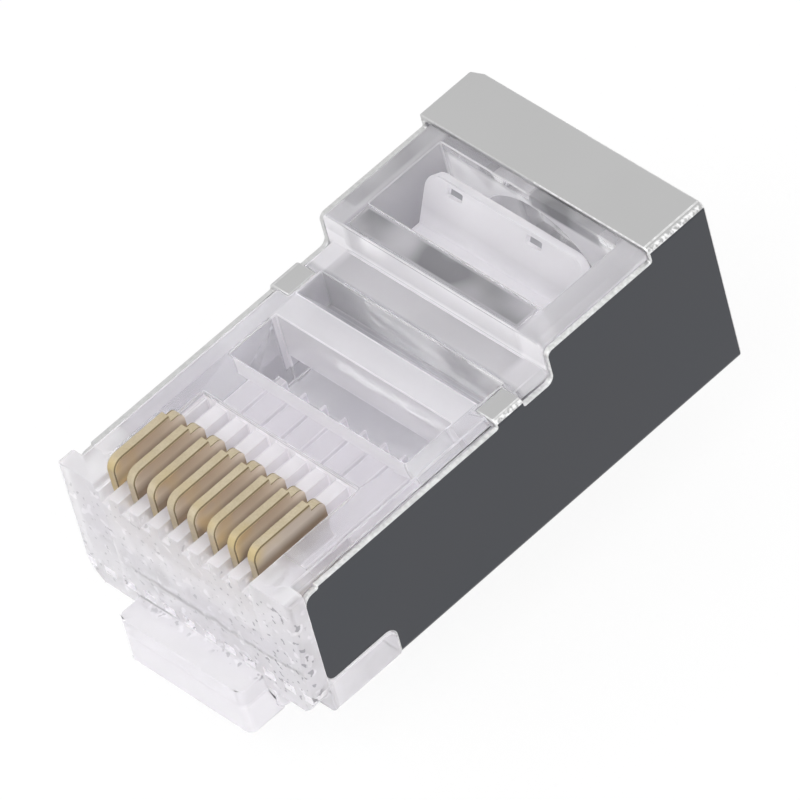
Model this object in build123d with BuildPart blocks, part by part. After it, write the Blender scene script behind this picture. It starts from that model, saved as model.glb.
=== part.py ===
import math
import os

from build123d import *

# Shielded eight-way modular plug, not yet crimped. Millimetres.
# X runs across the plug, +Y from the nose to the cable end, +Z towards the contacts.
# The origin is in the middle of the nose face, level with the latch-side surface.

# Plug body
body_length = 21.22
body_width = 11.0
nose_width = 11.84
nose_length = 0.77
nose_corner = 0.25
nose_round = 0.9
nose_chin = 0.4
pocket_width = 0.5
pocket_height = 0.35
pocket_depth = 0.15
pocket_floor = 1.1
plateau_height = 6.26
block_start = 13.17
block_height = 7.65
edge_bevel = 0.24
fit_gap = 0.02

# Folded shield
sheet = 0.25
bend_radius = 0.05
strip_length = 2.79
strip_clip_width = 0.54
strip_clip_length = 0.22
panel_corner = 0.45
panel_step_round = 0.3
panel_lip = 0.12
panel_lip_length = 0.7
panel_drop = 0.3
notch_length = 3.3
notch_height = 1.475
notch_radius = 0.45
foot_width = 11.68
foot_round = 0.3
ear_front = 10.4
ear_length = 1.35
ear_reach = 1.05
ear_bend = 0.24

# Contact blades
contact_count = 8
contact_pitch = 1.02
blade_thickness = 0.42
blade_front = 0.6
blade_length = 3.4
blade_top = 7.1
blade_waist = 5.1
blade_shoulder = 0.5
blade_bevel = 0.05
blade_heel_length = 0.6
blade_heel_drop = 0.3
prong_height = 0.75
prong_width = 0.6
prong_count = 3
prong_margin = 0.86

# Contact slots and conductor channels
recess_margin = 0.15
recess_length = 5.4
recess_depth = 0.28
slot_depth = 0.55
channel_width = 0.9
channel_floor = 3.0
channel_height = 1.0
channel_front = 0.9

# Conductor window, crossbar and trough on the contact side
window_margin = 0.43
comb_window_start = 7.2
comb_top = 4.4
comb_shelf_start = 8.1
comb_shelf = 3.6
comb_end = 8.9
comb_window_end = 9.5
crossbar_length = 1.15
trough_length = 1.25
trough_depth = 1.69
trough_flat = 0.22
trough_width = 9.2

# Cable space
cable_room_width = 8.8
cable_room_floor = 1.0
cable_room_corner = 1.4
cable_room_start = 14.46
cable_room_end = 18.07
throat_end = 12.2
throat_floor = 2.9
throat_height = 1.3
funnel_top = 4.6
entry_radius = 3.15
entry_height = 3.85
entry_chamfer = 0.25

# Strain relief bar
bar_width = 8.0
bar_corner = 0.7
bar_thickness = 0.45
bar_lean = 25.0
bar_back_gap = 1.14
bar_top_height = 7.5
bar_foot = 5.2
bar_web = 0.35
bar_tooth = 0.3
dimple_length = 0.75
dimple_height = 0.35
dimple_depth = 0.15
dimple_spacing = 4.0
dimple_shift = -0.5
dimple_drop = 0.36

# Latch
latch_width = 6.3
latch_reach = 1.15
latch_top = 0.97
latch_thickness = 1.0
latch_drop = 0.2
latch_round = 0.35
latch_shoulder = 8.5
wing_start = 5.0
wing_rise = 0.4
latch_length = 14.6
latch_slope = 9.0
latch_hinge_y = 0.75
tail_width = 3.2
tail_corner = 0.6
knuckle_gap = 0.03

# Places that follow from the sizes above
panel_inner = body_width / 2 + fit_gap
panel_outer = panel_inner + sheet
outer_bend = bend_radius + sheet
panel_front = nose_length + fit_gap
strip_start = body_length - strip_length
strip_top = block_height + fit_gap + sheet
ear_bottom = plateau_height - sheet
notch_end = nose_length + notch_length
recess_floor = plateau_height - recess_depth
slot_floor = recess_floor - slot_depth
channel_top = channel_floor + channel_height
crossbar_end = comb_window_end + crossbar_length
trough_end = crossbar_end + trough_length
latch_bottom = -latch_drop - latch_thickness
latch_hinge_height = latch_bottom + latch_thickness / 2
bar_top_y = cable_room_end - bar_back_gap
bar_hinge_height = bar_foot + bar_web / 2
bar_hinge_y = cable_room_start + knuckle_gap + bar_web / 2
contact_span = (contact_count - 1) * contact_pitch
slot_width = blade_thickness + 2 * fit_gap
blade_end = blade_front + blade_length
recess_width = contact_span + slot_width + 2 * recess_margin
window_width = contact_span + channel_width + 2 * window_margin
contact_places = [number * contact_pitch - contact_span / 2 for number in range(contact_count)]
beyond = 1.0
near = 0.001

# Nose: its side, front and plan outlines cross, so that every corner is rounded
with BuildPart() as nose:
    with BuildSketch(Plane.YZ):
        Rectangle(nose_length, plateau_height, align=(Align.MIN, Align.MIN))
        chamfer(vertices().group_by(Axis.X)[0].sort_by(Axis.Y)[0], nose_chin)
    extrude(amount=nose_width / 2, both=True)
    with BuildSketch(Plane.XZ.offset(-nose_length)):
        Rectangle(nose_width, plateau_height, align=(Align.CENTER, Align.MIN))
        fillet(vertices().group_by(Axis.Y)[0], nose_round)
        fillet(vertices().group_by(Axis.Y)[-1], nose_corner)
    extrude(amount=nose_length, mode=Mode.INTERSECT)
    with BuildSketch(Plane.XY):
        Rectangle(nose_width, nose_length, align=(Align.CENTER, Align.MIN))
        fillet(vertices().group_by(Axis.Y)[0], nose_corner)
    extrude(amount=plateau_height, mode=Mode.INTERSECT)

# Root of the latch, ahead of the nose and under it, hollowed for the lever's round end
with BuildPart() as latch_root:
    with BuildSketch(Plane.YZ):
        with BuildLine():
            Polyline(
                (-latch_reach, latch_top),
                (nose_length, latch_top),
                (nose_length, 0),
                (latch_hinge_y, 0),
                (latch_hinge_y, latch_bottom),
                (-latch_reach, latch_bottom),
                close=True,
            )
        make_face()
        fillet(vertices().group_by(Axis.X)[0], latch_round)
        with Locations((latch_hinge_y, latch_hinge_height)):
            Circle(latch_thickness / 2 + knuckle_gap, mode=Mode.SUBTRACT)
    extrude(amount=latch_width / 2, both=True)
    with BuildSketch(Plane.XY.offset(latch_bottom)):
        with Locations((0, -latch_reach)):
            Rectangle(latch_width, latch_reach + nose_length, align=(Align.CENTER, Align.MIN))
        fillet(vertices().group_by(Axis.Y)[0], latch_round)
    extrude(amount=latch_top - latch_bottom, mode=Mode.INTERSECT)

# Clear housing: one moulding with the nose, the contact comb, the cable space and the latch root
with BuildPart() as housing:
    with BuildSketch(Plane.YZ):
        with BuildLine():
            Polyline(
                (nose_length, 0),
                (nose_length, plateau_height),
                (block_start, plateau_height),
                (block_start, block_height),
                (body_length, block_height),
                (body_length, sheet + fit_gap),
                (notch_end, sheet + fit_gap),
                (notch_end, 0),
                close=True,
            )
        make_face()
    extrude(amount=body_width / 2, both=True)
    for height in (plateau_height, block_height):
        top_edges = edges().filter_by(Axis.Y).filter_by_position(Axis.Z, height - near, height + near)
        chamfer(top_edges, edge_bevel)

    # Feet that fill the shield's side notches
    with BuildSketch(Plane.YZ):
        with Locations((nose_length, 0)):
            Rectangle(notch_length - fit_gap, notch_height - fit_gap, align=(Align.MIN, Align.MIN))
        fillet(vertices().group_by(Axis.X)[-1].sort_by(Axis.Y)[-1], notch_radius)
    extrude(amount=foot_width / 2, both=True)
    foot_edges = edges().filter_by(Axis.Y).group_by(Axis.Z)[0].sort_by(Axis.X)
    fillet([foot_edges[0], foot_edges[-1]], foot_round)
    add(nose.part)

    # Sunken bed with one open slot for each blade, which goes deeper where it guides the blade
    with BuildSketch(Plane.XY.offset(plateau_height)):
        with Locations((0, recess_length / 2)):
            Rectangle(recess_width, recess_length)
    extrude(amount=-recess_depth, mode=Mode.SUBTRACT)
    with BuildSketch(Plane.XY.offset(slot_floor)):
        with Locations([(place, recess_length / 2) for place in contact_places]):
            Rectangle(slot_width, recess_length)
    extrude(amount=slot_depth, mode=Mode.SUBTRACT)
    with BuildSketch(Plane.XY.offset(channel_top)):
        with Locations([(place, blade_front + blade_length / 2) for place in contact_places]):
            Rectangle(slot_width, blade_length + 2 * fit_gap)
    extrude(amount=slot_floor - channel_top, mode=Mode.SUBTRACT)

    # Row of small pockets low on the nose face, one below each blade
    with BuildSketch(Plane.XZ):
        with Locations([(place, pocket_floor + pocket_height / 2) for place in contact_places]):
            Rectangle(pocket_width, pocket_height)
    extrude(amount=-pocket_depth, mode=Mode.SUBTRACT)

    # Conductor channels under the blades
    with BuildSketch(Plane.XY.offset(channel_floor)):
        with Locations([(place, (channel_front + comb_end) / 2) for place in contact_places]):
            Rectangle(channel_width, comb_end - channel_front)
    extrude(amount=channel_height, mode=Mode.SUBTRACT)

    # Window over the rear of the comb, stepped down to the mouths of the channels
    with BuildSketch(Plane.YZ):
        with BuildLine():
            Polyline(
                (comb_window_start, plateau_height),
                (comb_window_start, comb_top),
                (comb_shelf_start, comb_top),
                (comb_shelf_start, comb_shelf),
                (comb_end, comb_shelf),
                (comb_end, throat_floor),
                (comb_window_end, throat_floor),
                (comb_window_end, plateau_height),
                close=True,
            )
        make_face()
    extrude(amount=window_width / 2, both=True, mode=Mode.SUBTRACT)

    # Trough behind the crossbar, between the shield's ears
    with BuildSketch(Plane.YZ):
        with BuildLine():
            Polyline(
                (crossbar_end, plateau_height),
                (trough_end - trough_flat, plateau_height - trough_depth),
                (trough_end, plateau_height - trough_depth),
                (trough_end, plateau_height),
                close=True,
            )
        make_face()
    extrude(amount=trough_width / 2, both=True, mode=Mode.SUBTRACT)

    # Seats for the shield's ears
    with BuildSketch(Plane.XY.offset(plateau_height)):
        with Locations((0, ear_front + ear_length / 2)):
            Rectangle(body_width, ear_length + 2 * fit_gap)
            Rectangle(
                2 * (panel_outer - ear_reach - fit_gap), ear_length + 2 * fit_gap, mode=Mode.SUBTRACT
            )
    extrude(amount=-sheet - fit_gap, mode=Mode.SUBTRACT)

    # Room for the cable jacket, open at the top, and the round entry behind it
    with BuildSketch(Plane.XZ.offset(-cable_room_end)):
        with Locations((0, cable_room_floor)):
            Rectangle(cable_room_width, block_height, align=(Align.CENTER, Align.MIN))
        fillet(vertices().group_by(Axis.Y)[0], cable_room_corner)
    extrude(amount=cable_room_end - cable_room_start, mode=Mode.SUBTRACT)
    with BuildSketch(Plane.XZ.offset(-body_length)):
        with Locations((0, entry_height)):
            Circle(entry_radius)
    extrude(amount=body_length - cable_room_end, mode=Mode.SUBTRACT)
    entry_rim = edges().filter_by(GeomType.CIRCLE).group_by(Axis.Y)[-1]
    chamfer(entry_rim, entry_chamfer)

    # Funnel that spreads the conductors into one flat row before the comb
    with BuildSketch(Plane.XZ.offset(-cable_room_start)):
        with Locations((0, cable_room_floor)):
            Rectangle(
                cable_room_width, funnel_top - cable_room_floor, align=(Align.CENTER, Align.MIN)
            )
        fillet(vertices().group_by(Axis.Y)[0], cable_room_corner)
    with BuildSketch(Plane.XZ.offset(-throat_end)):
        with Locations((0, throat_floor)):
            Rectangle(cable_room_width, throat_height, align=(Align.CENTER, Align.MIN))
        fillet(vertices().group_by(Axis.Y)[0], throat_height / 4)
    loft(mode=Mode.SUBTRACT)
    with BuildSketch(Plane.XZ.offset(-throat_end)):
        with Locations((0, throat_floor)):
            Rectangle(cable_room_width, throat_height, align=(Align.CENTER, Align.MIN))
    extrude(amount=throat_end - comb_end, mode=Mode.SUBTRACT)

    add(latch_root.part)

# Latch lever, joined to its root where the plastic bends, with thicker wings that lock in the jack
slope_tangent = math.tan(math.radians(latch_slope))
fall_to_wing, fall_to_shoulder, fall_to_tip = [
    (place - latch_hinge_y) * slope_tangent for place in (wing_start, latch_shoulder, latch_length)
]
with BuildPart() as latch_lever:
    with BuildSketch(Plane.YZ):
        with BuildLine():
            Polyline(
                (latch_hinge_y, -latch_drop),
                (latch_length, -latch_drop - fall_to_tip),
                (latch_length, latch_bottom - fall_to_tip),
                (latch_shoulder, latch_bottom - fall_to_shoulder),
                (latch_shoulder, latch_bottom - wing_rise - fall_to_shoulder),
                (wing_start, latch_bottom - fall_to_wing),
                (latch_hinge_y, latch_bottom),
                close=True,
            )
        make_face()
        with Locations((latch_hinge_y, latch_hinge_height)):
            Circle(latch_thickness / 2)
    extrude(amount=latch_width / 2, both=True)
    with BuildSketch(Plane.XY):
        with Locations((0, latch_hinge_y - latch_thickness)):
            Rectangle(
                latch_width,
                latch_shoulder - latch_hinge_y + latch_thickness,
                align=(Align.CENTER, Align.MIN),
            )
            Rectangle(
                tail_width,
                latch_length - latch_hinge_y + latch_thickness,
                align=(Align.CENTER, Align.MIN),
            )
        fillet(vertices().group_by(Axis.Y)[-1], tail_corner)
    extrude(amount=-latch_length, mode=Mode.INTERSECT)

# Strain relief bar: a leaning flap on a web whose round foot turns at the front wall
lean = math.radians(bar_lean)
bar_front_y = bar_top_y - (bar_top_height - bar_foot - bar_web) * math.tan(lean)
bar_back_top = (
    bar_top_y + bar_thickness * math.cos(lean),
    bar_top_height - bar_thickness * math.sin(lean),
)
bar_back_foot = bar_back_top[0] - (bar_back_top[1] - bar_foot) * math.tan(lean)
with BuildPart() as strain_relief_bar:
    with BuildSketch(Plane.YZ):
        with BuildLine():
            Polyline(
                (bar_hinge_y, bar_foot),
                (bar_hinge_y, bar_foot + bar_web),
                (bar_front_y, bar_foot + bar_web),
                (bar_top_y, bar_top_height),
                bar_back_top,
                (bar_back_foot, bar_foot),
                (bar_back_foot - bar_tooth, bar_foot - bar_tooth),
                (bar_back_foot - 2 * bar_tooth, bar_foot),
                close=True,
            )
        make_face()
        with Locations((bar_hinge_y, bar_hinge_height)):
            Circle(bar_web / 2)
    extrude(amount=bar_width / 2, both=True)
    thickness_direction = Axis((0, 0, 0), (0, math.cos(lean), -math.sin(lean)))
    fillet(edges().filter_by(thickness_direction).sort_by(Axis.Z)[-2:], bar_corner)
    bar_face = Plane(
        origin=(0, bar_top_y, bar_top_height),
        x_dir=(1, 0, 0),
        z_dir=(0, -math.cos(lean), math.sin(lean)),
    )
    with BuildSketch(bar_face):
        with Locations((dimple_shift, -dimple_drop)):
            with GridLocations(dimple_spacing, 0, 2, 1):
                Rectangle(dimple_length, dimple_height)
    extrude(amount=-dimple_depth, mode=Mode.SUBTRACT)

# Contact blade: a stamped plate with a round shoulder, a stepped heel and piercing prongs
heel_top = blade_top - blade_heel_drop
prong_run = blade_length - 2 * prong_margin
prong_places = [
    blade_front + prong_margin + prong_run * number / (prong_count - 1)
    for number in range(prong_count)
]
with BuildSketch(Plane.YZ) as blade_outline:
    with BuildLine():
        Polyline(
            (blade_front, blade_top - blade_shoulder),
            (blade_front, blade_waist),
            (blade_end, blade_waist),
            (blade_end, heel_top),
            (blade_end - blade_heel_length, heel_top),
            (blade_end - blade_heel_length, blade_top),
            (blade_front + blade_shoulder, blade_top),
        )
        RadiusArc(
            (blade_front + blade_shoulder, blade_top),
            (blade_front, blade_top - blade_shoulder),
            -blade_shoulder,
        )
    make_face()
    heel_corners = vertices().group_by(Axis.X)[-1].sort_by(Axis.Y)[-1]
    fillet(heel_corners, blade_heel_length / 2)
    for place in prong_places:
        with BuildLine():
            Polyline(
                (place - prong_width / 2, blade_waist),
                (place, blade_waist - prong_height),
                (place + prong_width / 2, blade_waist),
                close=True,
            )
        make_face()

contacts = []
for number, place in enumerate(contact_places, start=1):
    with BuildPart(Plane.YZ.offset(place)) as contact:
        add(blade_outline.sketch_local)
        extrude(amount=blade_thickness / 2, both=True)
        rim = edges().filter_by(Axis.X, reverse=True).filter_by(Axis.Z, reverse=True)
        chamfer(rim.filter_by(lambda edge: edge.center().Z > heel_top + near), blade_bevel)
    contact.part.label = f"contact_{number}"
    contacts.append(contact.part)

# Shield: one sheet folded round the sides, the latch side and the cable end of the top
with BuildPart() as shield:
    with BuildSketch(Plane.XZ.offset(-body_length)):
        with Locations((0, strip_top / 2)):
            RectangleRounded(2 * panel_outer, strip_top, outer_bend)
            RectangleRounded(
                2 * panel_inner, strip_top - 2 * sheet, bend_radius, mode=Mode.SUBTRACT
            )
    extrude(amount=body_length - panel_front)
    with BuildSketch(Plane.YZ):
        with BuildLine():
            Polyline(
                (notch_end, -beyond),
                (body_length, -beyond),
                (body_length, strip_top + beyond),
                (strip_start, strip_top + beyond),
                (strip_start, block_height - panel_drop),
                (block_start, block_height - panel_drop),
                (block_start, plateau_height - panel_drop),
                (panel_front + panel_lip_length, plateau_height - panel_drop),
                (panel_front + panel_lip_length, plateau_height - panel_drop - panel_lip),
                (panel_front, plateau_height - panel_drop - panel_lip),
                (panel_front, notch_height),
                (notch_end, notch_height),
                close=True,
            )
        make_face()
        fillet(vertices().sort_by_distance((notch_end, notch_height))[0], notch_radius)
        fillet(vertices().group_by(Axis.X)[0], panel_corner)
        for height in (block_height, plateau_height):
            step_corner = vertices().sort_by_distance((block_start, height - panel_drop))[0]
            fillet(step_corner, panel_step_round)
    extrude(amount=panel_outer, both=True, mode=Mode.INTERSECT)

    # Ears folded over the plateau
    ear_section = Plane.XZ.offset(-ear_front - ear_length)
    with BuildSketch(ear_section):
        with Locations((0, plateau_height)):
            Rectangle(2 * panel_outer, 2 * sheet, align=(Align.CENTER, Align.MAX))
    extrude(amount=ear_length, mode=Mode.SUBTRACT)
    with BuildSketch(ear_section):
        with Locations((0, plateau_height)):
            Rectangle(2 * panel_outer, 2 * sheet, align=(Align.CENTER, Align.MAX))
            fillet(vertices().group_by(Axis.Y)[-1], ear_bend)
            Rectangle(
                2 * (panel_outer - ear_reach), sheet, align=(Align.CENTER, Align.MAX), mode=Mode.SUBTRACT
            )
        with Locations((0, ear_bottom)):
            Rectangle(
                2 * panel_inner, sheet, align=(Align.CENTER, Align.MAX), mode=Mode.SUBTRACT
            )
    extrude(amount=ear_length)

    # The strip is a flap of the right panel: its square end lies on the left panel, one corner clipped
    with BuildSketch(Plane.XY.offset(strip_top)):
        with Locations((-panel_outer, strip_start)):
            Rectangle(outer_bend, strip_length, align=(Align.MIN, Align.MIN))
    extrude(amount=-sheet)
    with BuildSketch(Plane.XY.offset(block_height)):
        with Locations((-panel_outer, strip_start)):
            Rectangle(outer_bend, strip_length, align=(Align.MIN, Align.MIN))
    extrude(amount=fit_gap, mode=Mode.SUBTRACT)
    with BuildSketch(Plane.XY.offset(strip_top)):
        with BuildLine():
            Polyline(
                (-panel_outer, body_length),
                (strip_clip_width - panel_outer, body_length),
                (-panel_outer, body_length - strip_clip_length),
                close=True,
            )
        make_face()
    extrude(amount=-sheet, mode=Mode.SUBTRACT)

housing.part.label = "housing"
latch_lever.part.label = "latch_lever"
strain_relief_bar.part.label = "strain_relief_bar"
shield.part.label = "shield"
os.makedirs("parts", exist_ok=True)
for piece in [housing.part, latch_lever.part, strain_relief_bar.part, shield.part, *contacts]:
    export_step(piece, f"parts/{piece.label}.step")
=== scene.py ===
import math

import bmesh
import bpy
from mathutils import Matrix, Vector


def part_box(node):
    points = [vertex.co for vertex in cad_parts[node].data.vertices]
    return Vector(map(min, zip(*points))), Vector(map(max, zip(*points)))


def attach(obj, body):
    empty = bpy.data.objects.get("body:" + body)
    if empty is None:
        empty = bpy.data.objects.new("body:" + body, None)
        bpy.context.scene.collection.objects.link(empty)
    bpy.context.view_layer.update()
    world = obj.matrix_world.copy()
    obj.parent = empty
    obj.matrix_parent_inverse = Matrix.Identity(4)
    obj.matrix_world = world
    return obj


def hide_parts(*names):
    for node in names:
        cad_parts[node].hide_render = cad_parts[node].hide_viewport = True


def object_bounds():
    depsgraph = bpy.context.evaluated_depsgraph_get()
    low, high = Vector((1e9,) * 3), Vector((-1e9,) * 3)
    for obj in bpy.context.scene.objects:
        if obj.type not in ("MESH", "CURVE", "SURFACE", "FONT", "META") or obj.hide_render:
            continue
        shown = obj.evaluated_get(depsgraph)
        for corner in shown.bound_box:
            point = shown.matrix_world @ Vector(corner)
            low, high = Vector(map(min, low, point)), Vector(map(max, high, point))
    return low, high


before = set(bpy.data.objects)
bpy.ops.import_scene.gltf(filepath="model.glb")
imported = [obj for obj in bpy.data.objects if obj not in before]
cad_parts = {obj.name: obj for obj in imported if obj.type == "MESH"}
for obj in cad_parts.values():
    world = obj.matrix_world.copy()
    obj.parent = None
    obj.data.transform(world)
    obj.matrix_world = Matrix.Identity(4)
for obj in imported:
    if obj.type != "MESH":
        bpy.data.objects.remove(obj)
cad_low, cad_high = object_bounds()

MM = 0.001
IMAGE_SIZE = 800

# Sizes read from the frame
shield_low, shield_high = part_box("shield")
housing_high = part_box("housing")[1]
blade_low, blade_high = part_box("contact_1")
last_blade_low, last_blade_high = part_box("contact_8")
BLADES = 8
BLADE_TOP = blade_high.z
BLADE_FRONT = blade_low.y
HALF_BLADE = (blade_high.x - blade_low.x) / 2
FIRST_BLADE = blade_low.x + HALF_BLADE
PITCH = (last_blade_low.x - blade_low.x) / (BLADES - 1)

# Sizes that the boxes of the nodes don't give
SHEET = 0.25 * MM
NOSE_LENGTH = 0.77 * MM
NOSE_ROUND = 1.9 * MM
BAR_LEAN = math.radians(25)
DIMPLE_DEPTH = 0.15 * MM
CLAMP_WALL = 4.2 * MM
POCKET_Z = 1.27 * MM
POCKET_HALF_WIDTH = 0.3 * MM
POCKET_HALF_HEIGHT = 0.22 * MM

# Rounding of the edges
BEVEL = 0.05 * MM
MERGED = 0.0005 * MM
FLAT_BELOW = math.radians(1)
SHARP_BEFORE = math.radians(28)
ROUNDED_FROM = math.radians(35)
SHARP_AFTER = math.radians(20)

# How much haze the clear plastic has, from 0 to 1, and along which lengths it changes
NOSE_HAZE = 0.5
FRONT_HAZE = 0.13
REAR_HAZE = 0.15
MARGIN_HAZE = 0.4
BAR_HAZE = 0.5
EDGE_HAZE = 0.6
FRONT_EDGE_HAZE = 0.4
MOST_HAZE = 0.95
NOSE_END = 2.5 * MM
CLEAR_START = 11.5 * MM
CLEAR_END = 13.2 * MM

# Places in millimetres: low corner, high corner, soft edge, and how much is added there
HAZE_PLACES = {
    "comb": ((-4.4, 1.5, 2.8), (4.4, 9.0, 6.15), 0.1, 0.65),
    "rear wall of the window": ((-4.6, 9.2, 3.5), (4.6, 10.8, 6.6), 0.1, 0.4),
    "left margin of the plateau": ((-6.2, 1.2, 6.1), (-4.5, 13.3, 6.9), 0.1, 0.2),
    "plateau behind the trough": ((-6.0, 11.9, 5.9), (6.0, 13.6, 6.6), 0.2, 0.3),
    "root of the latch": ((-4.0, -1.2, -1.5), (4.0, 1.0, 0.3), 0.2, 0.4),
    "feet": ((-6.0, 0.8, -0.1), (6.0, 4.2, 1.6), 0.2, 0.55),
    "left of the nose": ((-6.0, -0.1, 1.0), (-2.5, 0.9, 6.0), 0.6, 0.15),
    "wall behind the bar": ((-4.4, 17.7, 1.0), (4.4, 20.0, 7.4), 0.3, 0.5),
    "front of the block": ((-5.9, 13.0, 6.3), (5.9, 13.3, 7.6), 0.1, 0.4),
    "lower part of the bar": ((-4.4, 14.0, 2.0), (4.4, 16.6, 6.2), 0.6, 0.45),
}
# Places of painted shade and dark reflections in the clear plastic, in the same columns
PAINTED_SHADE_PLACES = {
    "rim before the cable space": ((-4.3, 13.25, 7.5), (4.3, 14.4, 7.9), 0.15, 1.0),
    "trough": ((-4.7, 10.6, 4.4), (4.7, 12.1, 6.25), 0.15, 0.65),
    "left margin of the block": ((-6.2, 13.9, 7.4), (-4.5, 18.8, 8.2), 0.2, 0.65),
    "before the strip": ((0.0, 17.9, 7.0), (3.6, 18.7, 8.2), 0.15, 1.0),
}
NOSE_FRONT = ((-6.3, -0.5, 0.6), (6.3, 0.7, 6), 0.3)

# Sizes of the patterns in the finishes
RIPPLE = 1.6 * MM
# size of the painted shade specks in the nose
SHADE_SPECK = 0.26 * MM
GREY_PATCH = 2.5 * MM
# size of the painted glint flakes in the nose
GLINT_FLAKE = 0.45 * MM
DIMPLE_CLOUD = 0.5 * MM
SHIELD_CLOUD = 5 * MM
INSIDE_CLOUD = 4 * MM
GRAIN = 0.05 * MM
# size of the painted glints on the shield
GLINT = 0.15 * MM
GRIT = 0.08 * MM
GOLD_CLOUD = 0.8 * MM
GOLD_PATCH = 1.3 * MM

# Lengths along which the finishes of the metal, and the painted light, shade and glints on it, change
SHADE_START = 12 * MM
SHADE_END = 14 * MM
GLINTS_FROM = 3 * MM
BLADE_SHADE_DEPTH = 1.2 * MM
GOLDEN_FRONT = 1.4 * MM


class Wire:
    """A shader socket that can be used in sums, so that a pattern reads as a formula."""

    def __init__(self, shader, socket):
        self.shader = shader
        self.socket = socket

    def join(self, operation, *others):
        values = dict(enumerate((self, *others)))
        return self.shader.node("ShaderNodeMath", {"operation": operation}, values)

    def __add__(self, other):
        return self.join("ADD", other)

    def __mul__(self, other):
        return self.join("MULTIPLY", other)

    def __sub__(self, other):
        return self.join("SUBTRACT", other)

    def __truediv__(self, other):
        return self.join("DIVIDE", other)

    def __rsub__(self, other):
        settings = {"operation": "SUBTRACT"}
        return self.shader.node("ShaderNodeMath", settings, {0: other, 1: self})

    def __abs__(self):
        return self.join("ABSOLUTE")

    def above(self, limit):
        """1 where the value is above the limit, and 0 elsewhere."""
        return self.join("GREATER_THAN", limit)

    def limited(self):
        """The same value, held between 0 and 1."""
        return self.shader.node("ShaderNodeClamp", values={0: self})

    def rise(self, start, end):
        """Goes from 0 at start to 1 at end, which may lie below start."""
        return ((self - start) / (end - start)).limited()

    __radd__ = __add__
    __rmul__ = __mul__


class Finish:
    """A material with one surface shader and whatever nodes feed it."""

    def __init__(self, name):
        self.material = bpy.data.materials.new(name)
        self.material.use_nodes = True
        self.tree = self.material.node_tree
        self.tree.nodes.clear()

    def node(self, kind, settings=None, values=None, out=0):
        """Adds a node with its settings first, then the values or links of its sockets."""
        made = self.tree.nodes.new(kind)
        for key, value in (settings or {}).items():
            if key == "stops":
                self.set_stops(made.color_ramp, value)
            else:
                setattr(made, key, value)
        for key, value in (values or {}).items():
            if isinstance(value, Wire):
                self.tree.links.new(value.socket, made.inputs[key])
            else:
                made.inputs[key].default_value = value
        return Wire(self, made.outputs[out])

    def set_stops(self, ramp, stops):
        while len(ramp.elements) < len(stops):
            ramp.elements.new(1)
        for element, (place, colour) in zip(ramp.elements, stops):
            element.position = place
            element.color = (*colour, 1)

    def place(self):
        """The place on the object, whole and as three wires, in metres."""
        where = self.node("ShaderNodeTexCoord", out="Object")
        split = self.node("ShaderNodeSeparateXYZ", values={0: where})
        axes = split.socket.node.outputs
        return where, [Wire(self, axes[axis]) for axis in "XYZ"]

    def noise(self, where, size, detail=2.0, roughness=0.5):
        values = {"Vector": where, "Scale": 1 / size, "Detail": detail, "Roughness": roughness}
        return self.node("ShaderNodeTexNoise", values=values, out="Fac")

    def spots(self, where, size, limit, contrast, roughness=0.5):
        """Spots of about that size where a noise is above the limit, with soft edges."""
        cloud = self.noise(where, size, detail=1.0, roughness=roughness)
        return ((cloud - limit) * contrast).limited()

    def blend(self, share, low, high):
        """Goes from the colour low to the colour high as share goes from 0 to 1."""
        made = self.node("ShaderNodeMix", {"data_type": "RGBA"}, {"Factor": share}, out=2)
        for key, value in ((6, low), (7, high)):
            socket = made.socket.node.inputs[key]
            if isinstance(value, Wire):
                self.tree.links.new(value.socket, socket)
            else:
                socket.default_value = (*value, 1)
        return made

    def mixed(self, share, first, second):
        """Goes from the first shader to the second as share goes from 0 to 1."""
        return self.node("ShaderNodeMixShader", values={0: share, 1: first, 2: second})

    def bump(self, height, strength, distance):
        values = {"Height": height, "Strength": strength, "Distance": distance}
        return self.node("ShaderNodeBump", values=values)

    def inside(self, place, low, high, soft):
        """1 inside the box from low to high, in millimetres, falling to 0 over the length soft."""
        share = 1.0
        for wire, start, end in zip(place, low, high):
            middle, half = (start + end) / 2 * MM, (end - start) / 2 * MM
            share = abs(wire - middle).rise(half, half - soft * MM) * share
        return share

    def off_blade(self, x):
        """How far x is from the middle of the nearest blade."""
        turn = ((x - FIRST_BLADE) / PITCH + 0.5).join("FRACT")
        return abs(turn - 0.5) * PITCH

    def finish(self, **sockets):
        """Adds the surface shader with the named sockets and gives the material."""
        values = {key.replace("_", " "): value for key, value in sockets.items()}
        return self.show(self.node("ShaderNodeBsdfPrincipled", values=values))

    def show(self, surface):
        output = self.tree.nodes.new("ShaderNodeOutputMaterial")
        self.tree.links.new(surface.socket, output.inputs["Surface"])
        return self.material


# Plastic

def clear_body(finish, where):
    """The clear plastic itself, with the slight ripple of a moulded surface."""
    ripple = finish.noise(where, RIPPLE, detail=1.0)
    values = {
        "Base Color": (0.985, 0.985, 0.995, 1),
        "Roughness": 0.03,
        "IOR": 1.5,
        "Transmission Weight": 1.0,
        "Normal": finish.bump(ripple, 0.12, 0.1 * MM),
    }
    return finish.node("ShaderNodeBsdfPrincipled", values=values)


def haze_body(finish, grey):
    """What the haze is made of: white, half of it letting light through, or a dark grey that paints
    shade.
    """
    white = {"Color": (0.985, 0.975, 0.995, 1)}
    front = finish.node("ShaderNodeBsdfDiffuse", values=white)
    through = finish.node("ShaderNodeBsdfTranslucent", values=white)
    shade = finish.node("ShaderNodeBsdfDiffuse", values={"Color": (0.16, 0.16, 0.17, 1)})
    return finish.mixed(grey, finish.mixed(0.5, front, through), shade)


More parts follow.
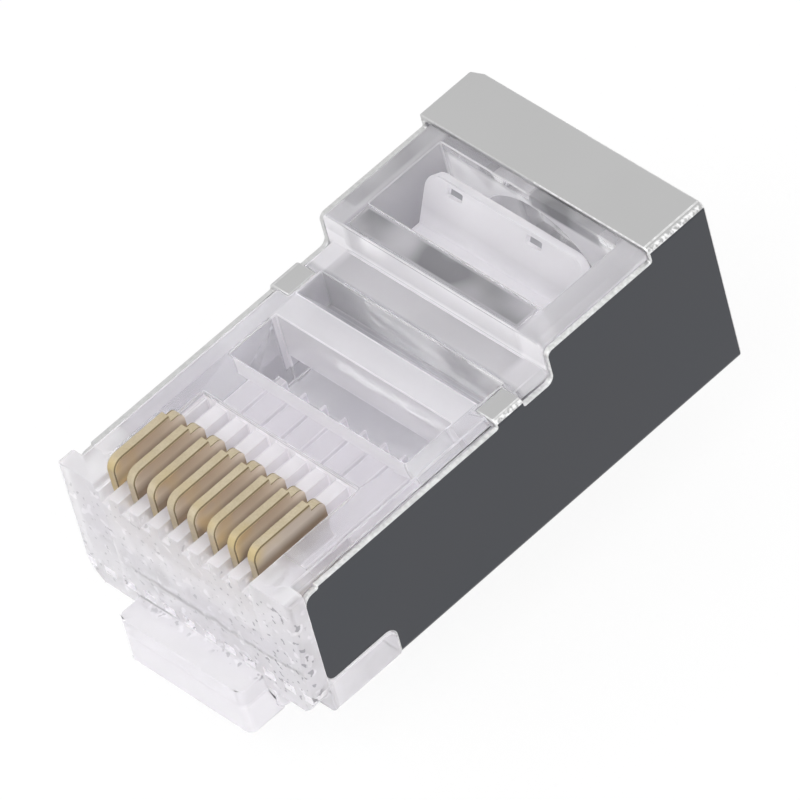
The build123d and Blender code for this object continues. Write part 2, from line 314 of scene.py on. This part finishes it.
def painted_shade_marks(finish, where, place, at_nose):
    """Painted shade and dark reflections in the plastic: small grey specks in the nose, and patchy
    grey places.
    """
    right = place[0].rise(MM, 4 * MM)
    shade_specks = finish.spots(where, SHADE_SPECK, 0.64 - 0.03 * right, 24)
    grey = shade_specks * at_nose * (0.55 + 0.2 * right)
    patches = finish.spots(where, GREY_PATCH, 0.4, 3)
    for low, high, soft, amount in PAINTED_SHADE_PLACES.values():
        patchy = finish.inside(place, low, high, soft) * amount * (1 - 0.5 * patches)
        grey = grey.join("MAXIMUM", patchy)
    return grey


def painted_glint_marks(finish, where, place, at_nose):
    """Painted glints: the white pockets in a row low on the nose, one under each blade, and faint
    white flakes.
    """
    x, y, z = place
    wide = finish.off_blade(x).rise(POCKET_HALF_WIDTH, POCKET_HALF_WIDTH - BEVEL)
    tall = abs(z - POCKET_Z).rise(POCKET_HALF_HEIGHT, POCKET_HALF_HEIGHT - BEVEL)
    # painted glints: faint white flakes
    glint_flakes = finish.spots(where, GLINT_FLAKE, 0.6, 14, roughness=0.3) * 0.2
    return (wide * tall).join("MAXIMUM", glint_flakes) * at_nose


def haze_share(finish, place, nose_haze, front_haze, rear_haze):
    """How hazy the plastic is: more in the nose, the margins and the HAZE_PLACES."""
    x, y, z = place
    rear = y.rise(CLEAR_START, CLEAR_END)
    nose = y.rise(NOSE_END, 0.0)
    margin = rear * abs(x).rise(CLAMP_WALL, CLAMP_WALL + 0.3 * MM)
    share = front_haze - (front_haze - rear_haze) * rear + (nose_haze - front_haze) * nose
    share = share + (MARGIN_HAZE - rear_haze) * margin
    for low, high, soft, amount in HAZE_PLACES.values():
        share = share + finish.inside(place, low, high, soft) * amount
    return share.join("MINIMUM", MOST_HAZE)


def clear_plastic(name, nose_haze, front_haze, rear_haze):
    """Clear moulded plastic with a little haze, which keeps its shadows pale."""
    finish = Finish(name)
    where, place = finish.place()
    at_nose = finish.inside(place, *NOSE_FRONT)
    # painted shade and dark reflections, and painted glints, raise the haze
    grey = painted_shade_marks(finish, where, place, at_nose)
    marks = painted_glint_marks(finish, where, place, at_nose).join("MAXIMUM", grey * 0.8)
    share = haze_share(finish, place, nose_haze, front_haze, rear_haze)
    share = share + (1 - share) * marks
    return finish.show(finish.mixed(share, clear_body(finish, where), haze_body(finish, grey)))


def dimple_shade():
    """Painted shade on the floors of the dimples in the bar, where the plastic looks grey."""
    finish = Finish("dimple_shade")
    where, _ = finish.place()
    cloud = finish.noise(where, DIMPLE_CLOUD)
    return finish.finish(
        Base_Color=finish.blend(cloud, (0.2, 0.2, 0.21), (0.34, 0.34, 0.36)),
        Roughness=0.2 + 0.1 * cloud,
        IOR=1.5,
    )


# Metal

def shield_metal():
    """Bright nickel on the top strip and the tabs, with painted glints along the right fold, and a
    painted dark reflection on the flat outer sides.
    """
    finish = Finish("shield_metal")
    where, (x, y, z) = finish.place()
    side = abs(x).above(shield_high.x - 0.02 * MM)
    cloud = finish.noise(where, SHIELD_CLOUD)
    top_colour = finish.blend(cloud, (0.49, 0.49, 0.49), (0.53, 0.53, 0.53))
    # painted reflection: a dark colour on the flat outer sides stands for a dark surrounding seen in
    # the nickel
    painted_side_colour = finish.blend(cloud, (0.075, 0.08, 0.09), (0.085, 0.086, 0.094))
    grain = finish.noise(where, GRAIN, detail=3.0)
    fold = shield_high.x - 0.7 * SHEET
    # painted glints: white spots along the right fold, high on the shield
    glints = finish.spots(where, GLINT, 0.4, 5) * (x.rise(fold, fold + BEVEL) * z.above(GLINTS_FROM))
    top_colour = finish.blend(glints, top_colour, (1.0, 1.0, 1.0))
    return finish.finish(
        Base_Color=finish.blend(side, top_colour, painted_side_colour),
        Roughness=0.28 + 0.1 * cloud,
        Metallic=1.0,
        Normal=finish.bump(grain, 0.05, 0.01 * MM),
    )


def edge_metal():
    """Nickel along the sheared and folded edges of the shield, with painted glints that are brighter
    on the right.
    """
    finish = Finish("shield_edge")
    where, (x, y, z) = finish.place()
    glints = finish.noise(where, GLINT, detail=1.0)
    shine = glints * (0.4 + 0.6 * x.above(0.0))
    return finish.finish(
        Base_Color=finish.blend(shine, (0.5, 0.5, 0.5), (1.0, 1.0, 1.0)),
        Roughness=0.3 + 0.1 * glints,
        Metallic=1.0,
    )


def inside_metal():
    """The inside of the shield, in painted light and shade: lit bright beside the contacts, shaded
    duller round the cable.
    """
    finish = Finish("shield_inside")
    where, (x, y, z) = finish.place()
    cloud = finish.noise(where, INSIDE_CLOUD)
    # painted light beside the contacts and painted shade round the cable, on the same nickel as
    # outside
    painted_light_colour = finish.blend(cloud, (0.84, 0.84, 0.85), (0.9, 0.9, 0.91))
    painted_shade_colour = finish.blend(cloud, (0.45, 0.45, 0.46), (0.52, 0.52, 0.53))
    return finish.finish(
        Base_Color=finish.blend(y.rise(SHADE_START, SHADE_END), painted_light_colour, painted_shade_colour),
        Roughness=0.3 + 0.1 * cloud,
        Metallic=1.0,
    )


def gold_rim(finish, where, cloud, patch, off):
    """The narrow rim of a blade: gritty gold with yellow patches, and painted shade in dark lines at
    its corners.
    """
    grit = finish.noise(where, GRIT, detail=2.0)
    rim_colour = finish.blend(0.55 * cloud + 0.45 * grit, (0.4, 0.32, 0.19), (0.74, 0.66, 0.51))
    rim_colour = finish.blend(patch * 0.7, rim_colour, (0.6, 0.47, 0.22))
    # painted shade: dark lines along the corners of the rim
    return finish.blend(off.above(HALF_BLADE - 0.9 * BEVEL), rim_colour, (0.22, 0.17, 0.1))


def gold_side(finish, x, z, patch):
    """The stamped side of a blade, with painted light and shade: pale near its top, darker below
    toward the plastic; also darker on the outer face of the last blade.
    """
    # painted light and shade: pale near the top of the side, darker down toward the plastic
    stops = (
        (0.0, (0.55, 0.45, 0.3)),
        (0.12, (0.82, 0.72, 0.6)),
        (0.4, (0.9, 0.82, 0.71)),
        (0.75, (0.42, 0.33, 0.24)),
    )
    depth = z.rise(BLADE_TOP, BLADE_TOP - BLADE_SHADE_DEPTH)
    painted_side_colour = finish.node("ShaderNodeValToRGB", {"stops": stops}, {0: depth})
    painted_side_colour = finish.blend(patch, painted_side_colour, (0.9, 0.74, 0.42))
    outermost = x.above(last_blade_high.x - 0.1 * BEVEL)
    return finish.blend(outermost * 0.35, painted_side_colour, (0.3, 0.23, 0.16))


def gold_contact():
    """Gold plating: pale along the rim, with painted shade in dark lines at its corners, and painted
    light and shade down the stamped sides.
    """
    finish = Finish("gold_contact")
    where, (x, y, z) = finish.place()
    cloud = finish.noise(where, GOLD_CLOUD)
    off = finish.off_blade(x)
    side = off.above(HALF_BLADE - 0.1 * BEVEL)
    patch = finish.spots(where, GOLD_PATCH, 0.45, 6) * y.rise(BLADE_FRONT + GOLDEN_FRONT, BLADE_FRONT)
    rim_colour = gold_rim(finish, where, cloud, patch, off)
    return finish.finish(
        Base_Color=finish.blend(side, rim_colour, gold_side(finish, x, z, patch)),
        Roughness=0.3 + 0.16 * cloud + 0.15 * side,
        Metallic=1 - 0.12 * side,
    )


PLASTIC = clear_plastic("clear_plastic", NOSE_HAZE, FRONT_HAZE, REAR_HAZE)
BAR_PLASTIC = clear_plastic("hazy_plastic", BAR_HAZE, BAR_HAZE, BAR_HAZE)
PLASTIC_EDGE = clear_plastic("plastic_edge", NOSE_HAZE, FRONT_EDGE_HAZE, EDGE_HAZE)
DIMPLE_SHADE = dimple_shade()
METAL = shield_metal()
METAL_EDGE = edge_metal()
METAL_INSIDE = inside_metal()
GOLD = gold_contact()


# Pieces

def nose_cutter():
    """What is taken off the two lower corners of the nose, which are rounder than in the CAD."""
    side = housing_high.x
    steps = 12
    turns = [math.pi / 2 * step / steps for step in range(steps + 1)]
    arc = [(side - NOSE_ROUND * (1 - math.sin(t)), NOSE_ROUND * (1 - math.cos(t))) for t in turns]
    beyond = 0.5 * MM
    outline = [(arc[0][0], -beyond), *arc, (side + beyond, NOSE_ROUND), (side + beyond, -beyond)]
    shape = bmesh.new()
    for sign in (-1, 1):
        rings = [
            [shape.verts.new((sign * across, along, up)) for across, up in outline]
            for along in (-beyond, NOSE_LENGTH + BEVEL / 10)
        ]
        for ring in rings:
            shape.faces.new(ring)
        for number in range(len(outline)):
            after = (number + 1) % len(outline)
            shape.faces.new((rings[0][number], rings[0][after], rings[1][after], rings[1][number]))
    bmesh.ops.recalc_face_normals(shape, faces=shape.faces)
    mesh = bpy.data.meshes.new("cutter")
    shape.to_mesh(mesh)
    shape.free()
    return placed("cutter", mesh)


def placed(name, content):
    """A new object in the scene, at the origin."""
    made = bpy.data.objects.new(name, content)
    bpy.context.collection.objects.link(made)
    return made


def merged_copy(node, name, joined):
    """A copy of a CAD node's mesh whose loose triangles are joined into one skin."""
    mesh = bpy.data.objects[node].data.copy()
    mesh.name = name
    shape = bmesh.new()
    shape.from_mesh(mesh)
    bmesh.ops.remove_doubles(shape, verts=shape.verts, dist=MERGED)
    if joined:
        flats = {"verts": shape.verts, "edges": shape.edges}
        bmesh.ops.dissolve_limit(shape, angle_limit=FLAT_BELOW, **flats)
    shape.to_mesh(mesh)
    shape.free()
    return mesh


def add_rounding(piece, joined, cutter):
    """The modifiers that cut and round a piece."""
    if cutter:
        cut = piece.modifiers.new("cut", "BOOLEAN")
        cut.operation = "DIFFERENCE"
        cut.solver = "EXACT"
        cut.object = cutter
    bevel = piece.modifiers.new("round", "BEVEL")
    bevel.width = BEVEL
    bevel.segments = 2
    bevel.limit_method = "ANGLE"
    bevel.angle_limit = ROUNDED_FROM
    bevel.miter_outer = "MITER_ARC"
    bevel.use_clamp_overlap = False
    bevel.material = 1
    if joined:
        weights = piece.modifiers.new("even", "WEIGHTED_NORMAL")
        weights.keep_sharp = True


def softened(node, name, body, materials, joined=False, cutter=None):
    """A copy of a CAD node with its edges rounded off, which stands for that node."""
    mesh = merged_copy(node, name, joined)
    mesh.materials.clear()
    for material in materials:
        mesh.materials.append(material)
    mesh.shade_smooth()
    mesh.set_sharp_from_angle(angle=SHARP_BEFORE)
    piece = placed(name, mesh)
    add_rounding(piece, joined, cutter)
    settled = piece.evaluated_get(bpy.context.evaluated_depsgraph_get())
    piece.data = bpy.data.meshes.new_from_object(settled)
    piece.modifiers.clear()
    if not joined:
        piece.data.set_sharp_from_angle(angle=SHARP_AFTER)
    if cutter:
        bpy.data.objects.remove(cutter)
    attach(piece, body)
    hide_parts(node)
    return piece


def dress(node, material):
    """Gives a CAD node, whose shape stays, its finish."""
    mesh = bpy.data.objects[node].data
    mesh.materials.clear()
    mesh.materials.append(material)


def shaded_dimples(piece, material):
    """Gives the floors of the two dimples in the bar a painted shade, greyer than the face round
    them.
    """
    piece.data.materials.append(material)
    out = Vector((0, -math.cos(BAR_LEAN), math.sin(BAR_LEAN)))
    facing = [face for face in piece.data.polygons if face.normal.dot(out) > 0.99]
    front = max(facing, key=lambda face: face.area).center.dot(out)
    for face in facing:
        depth = front - face.center.dot(out)
        if DIMPLE_DEPTH / 2 < depth < 1.5 * DIMPLE_DEPTH:
            face.material_index = 2


def line_inside(piece, material):
    """Gives the inner faces of the shield their own finish, with painted light and shade, and its
    sheared edges a bright one, with painted glints.
    """
    piece.data.materials.append(material)
    for face in piece.data.polygons:
        outwards = Vector((math.copysign(1, face.center.x), 0, 0))
        sideways = face.normal.dot(outwards) < -0.5
        down = face.normal.z < -0.5 and face.center.z > shield_low.z + SHEET
        up = face.normal.z > 0.5 and face.center.z < shield_low.z + 2 * SHEET
        if face.material_index == 0 and (sideways or down or up):
            face.material_index = 2
        at_edge = abs(face.center.x) > shield_high.x - SHEET - BEVEL
        if face.material_index == 0 and at_edge and abs(face.normal.x) < 0.3:
            face.material_index = 1


MOULDED = (PLASTIC, PLASTIC_EDGE)
MILKY = (BAR_PLASTIC, BAR_PLASTIC)
FOLDED = (METAL, METAL_EDGE)
softened("housing", "housing_moulding", "plug_body", MOULDED, cutter=nose_cutter())
clamp_bar = softened("strain_relief_bar", "clamp_bar", "cable_clamp", MILKY)
shaded_dimples(clamp_bar, DIMPLE_SHADE)
softened("latch_lever", "latch_arm", "latch", MOULDED)
folded_shield = softened("shield", "folded_shield", "plug_body", FOLDED, joined=True)
line_inside(folded_shield, METAL_INSIDE)
for number in range(1, BLADES + 1):
    dress(f"contact_{number}", GOLD)


# Camera, floor and light

def studio_camera():
    """The photograph's viewpoint, with the image turned a little about the line of sight."""
    place = Vector((246.370, -150.052, 303.359)) * MM
    azimuth, elevation, roll = map(math.radians, (56.891, 45.542, 15.827))
    focal_pixels = 12000.15
    level = math.cos(elevation)
    back = Vector((math.sin(azimuth) * level, -math.cos(azimuth) * level, math.sin(elevation)))
    right = (-back).cross(Vector((0, 0, 1))).normalized()
    down = (-back).cross(right)
    image_x = right * math.cos(roll) + down * math.sin(roll)
    image_y = down * math.cos(roll) - right * math.sin(roll)
    lens = bpy.data.cameras.new("camera")
    lens.sensor_width = 36
    lens.lens = focal_pixels / IMAGE_SIZE * lens.sensor_width
    lens.clip_start = 0.01
    lens.clip_end = 10
    camera = placed("camera", lens)
    turn = Matrix((image_x, -image_y, back)).transposed()
    camera.matrix_world = Matrix.Translation(place) @ turn.to_4x4()
    bpy.context.scene.camera = camera


def seen(finish):
    """1 for rays that show the background: straight from the camera, or through gloss or glass."""
    rays = finish.node("ShaderNodeLightPath").socket.node.outputs
    camera, glossy, through = (
        Wire(finish, rays[name]) for name in ("Is Camera Ray", "Is Glossy Ray", "Is Transmission Ray")
    )
    return camera.join("MAXIMUM", glossy).join("MAXIMUM", through)


def floor():
    """A plain pale floor under the plug, white where it is seen, with the plug's shadow on it."""
    finish = Finish("floor")
    paint = finish.node("ShaderNodeBsdfDiffuse", values={"Color": (0.93, 0.93, 0.93, 1)})
    glow = finish.node("ShaderNodeEmission", values={"Color": (1, 1, 1, 1), "Strength": 1.0})
    glow_share = 0.88
    finish.show(finish.mixed(seen(finish) * glow_share, paint, glow))
    half = 1.5
    corners = [(x * half, y * half, cad_low.z) for x, y in ((-1, -1), (1, -1), (1, 1), (-1, 1))]
    mesh = bpy.data.meshes.new("floor")
    mesh.from_pydata(corners, [], [(0, 1, 2, 3)])
    mesh.materials.append(finish.material)
    placed("floor", mesh)


def softbox(name, place, size, power):
    """A square soft light that looks at the middle of the plug."""
    lamp = bpy.data.lights.new(name, "AREA")
    lamp.size = size
    lamp.energy = power
    holder = placed(name, lamp)
    aim = Vector((0, 10 * MM, 3 * MM)) - Vector(place)
    holder.rotation_euler = aim.to_track_quat("-Z", "Y").to_euler()
    holder.location = place


def sky():
    """Even white light from all round."""
    world = bpy.data.worlds.new("world")
    bpy.context.scene.world = world
    world.use_nodes = True
    background = world.node_tree.nodes["Background"]
    background.inputs["Color"].default_value = (1, 1, 1, 1)
    background.inputs["Strength"].default_value = 1.0


def light_paths():
    """Enough bounces for light to find its way through the walls of the moulding."""
    paths = bpy.context.scene.cycles
    paths.blur_glossy = 0
    paths.max_bounces = 24
    paths.diffuse_bounces = 12
    paths.glossy_bounces = 12
    paths.transmission_bounces = 16


studio_camera()
floor()
softbox("key", (0.05, -0.4, 0.42), 0.5, 1.25)
sky()
light_paths()
bpy.context.scene.view_settings.view_transform = "Standard"
